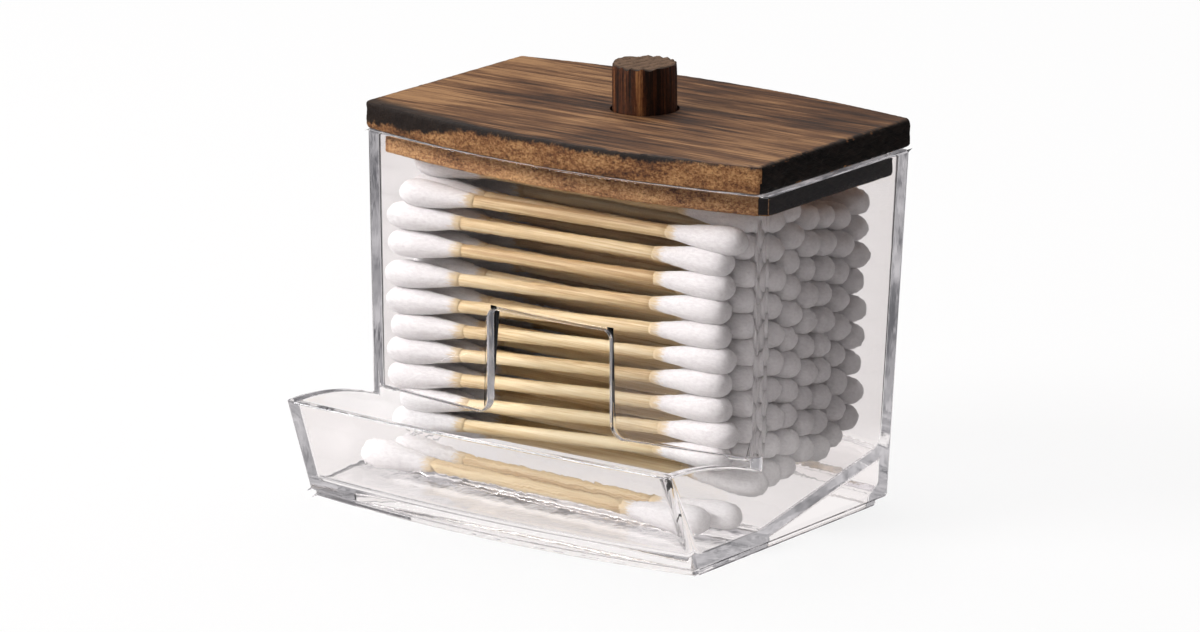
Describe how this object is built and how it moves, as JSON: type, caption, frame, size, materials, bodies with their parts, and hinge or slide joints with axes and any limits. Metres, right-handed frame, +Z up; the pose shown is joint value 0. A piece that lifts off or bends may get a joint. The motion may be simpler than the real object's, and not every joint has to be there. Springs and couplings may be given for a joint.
{
  "type": "cotton swab holder",
  "caption": "Clear upright bin with bowed walls, a dispensing slot, finger notch and open front tray, closed by a bowed wooden lid with a dowel knob and filled with bamboo cotton swabs.",
  "frame": {"origin": "centre of the footprint on the surface the holder stands on, from the tray's lip to the lid's back edge", "axes": "+Z up; the tray and the finger notch face -Y; +X along the lid's long side and the swabs, to the right seen from the tray's side"},
  "size_m": [0.086, 0.0746, 0.076],
  "materials": {
    "clear_plastic": "clear, polished",
    "lid_wood": "dark stained, open grain, scorched edges",
    "plug_wood": "fibrous, unpolished",
    "knob_wood": "red-brown dowel, satin",
    "bamboo": "pale bamboo, satin",
    "cotton": "wound white cotton, matt"
  },
  "bodies": {
    "bin": {"clear_bin": "clear_plastic", "swab_column_1_row_01": "bamboo", "swab_column_1_row_02": "bamboo", "swab_column_1_row_03": "bamboo", "swab_column_1_row_04": "bamboo", "swab_column_1_row_05": "bamboo", "swab_column_1_row_06": "bamboo", "swab_column_1_row_07": "bamboo", "swab_column_1_row_08": "bamboo", "swab_column_1_row_09": "bamboo", "swab_column_1_row_10": "bamboo", "swab_column_2_row_01": "bamboo", "swab_column_2_row_02": "bamboo", "swab_column_2_row_03": "bamboo", "swab_column_2_row_04": "bamboo", "swab_column_2_row_05": "bamboo", "swab_column_2_row_06": "bamboo", "swab_column_2_row_07": "bamboo", "swab_column_2_row_08": "bamboo", "swab_column_2_row_09": "bamboo", "swab_column_2_row_10": "bamboo", "swab_column_2_row_11": "bamboo", "swab_column_3_row_01": "bamboo", "swab_column_3_row_02": "bamboo", "swab_column_3_row_03": "bamboo", "swab_column_3_row_04": "bamboo", "swab_column_3_row_05": "bamboo", "swab_column_3_row_06": "bamboo", "swab_column_3_row_07": "bamboo", "swab_column_3_row_08": "bamboo", "swab_column_3_row_09": "bamboo", "swab_column_3_row_10": "bamboo", "swab_column_4": "bamboo", "swab_column_5": "bamboo", "swab_column_6": "bamboo", "swab_column_7_row_01": "bamboo", "swab_column_7_row_02": "bamboo", "swab_column_7_row_03": "bamboo", "swab_column_7_row_04": "bamboo", "swab_column_7_row_05": "bamboo", "swab_column_7_row_06": "bamboo", "swab_column_7_row_07": "bamboo", "swab_column_7_row_08": "bamboo", "swab_column_7_row_09": "bamboo", "swab_column_8_row_01": "bamboo", "swab_column_8_row_02": "bamboo", "swab_column_8_row_03": "bamboo", "swab_column_8_row_04": "bamboo", "swab_column_8_row_05": "bamboo", "swab_column_8_row_06": "bamboo", "swab_column_8_row_07": "bamboo", "swab_column_8_row_08": "bamboo", "swab_column_8_row_09": "bamboo", "swab_under_slot": "bamboo"},
    "lid": {"lid_board": "lid_wood", "lid_plug": "plug_wood", "lid_knob": "knob_wood"},
    "tray_swab": {"swab_in_tray": "bamboo"}
  },
  "joints": [
    {"name": "lid_lift", "type": "slide", "parent": "bin", "child": "lid", "axis": [0, 0, 1], "range_m": [0, 0.1]},
    {"name": "tray_swab_lift", "type": "slide", "parent": "bin", "child": "tray_swab", "axis": [0, 0, 1], "range_m": [0, 0.05]}
  ]
}
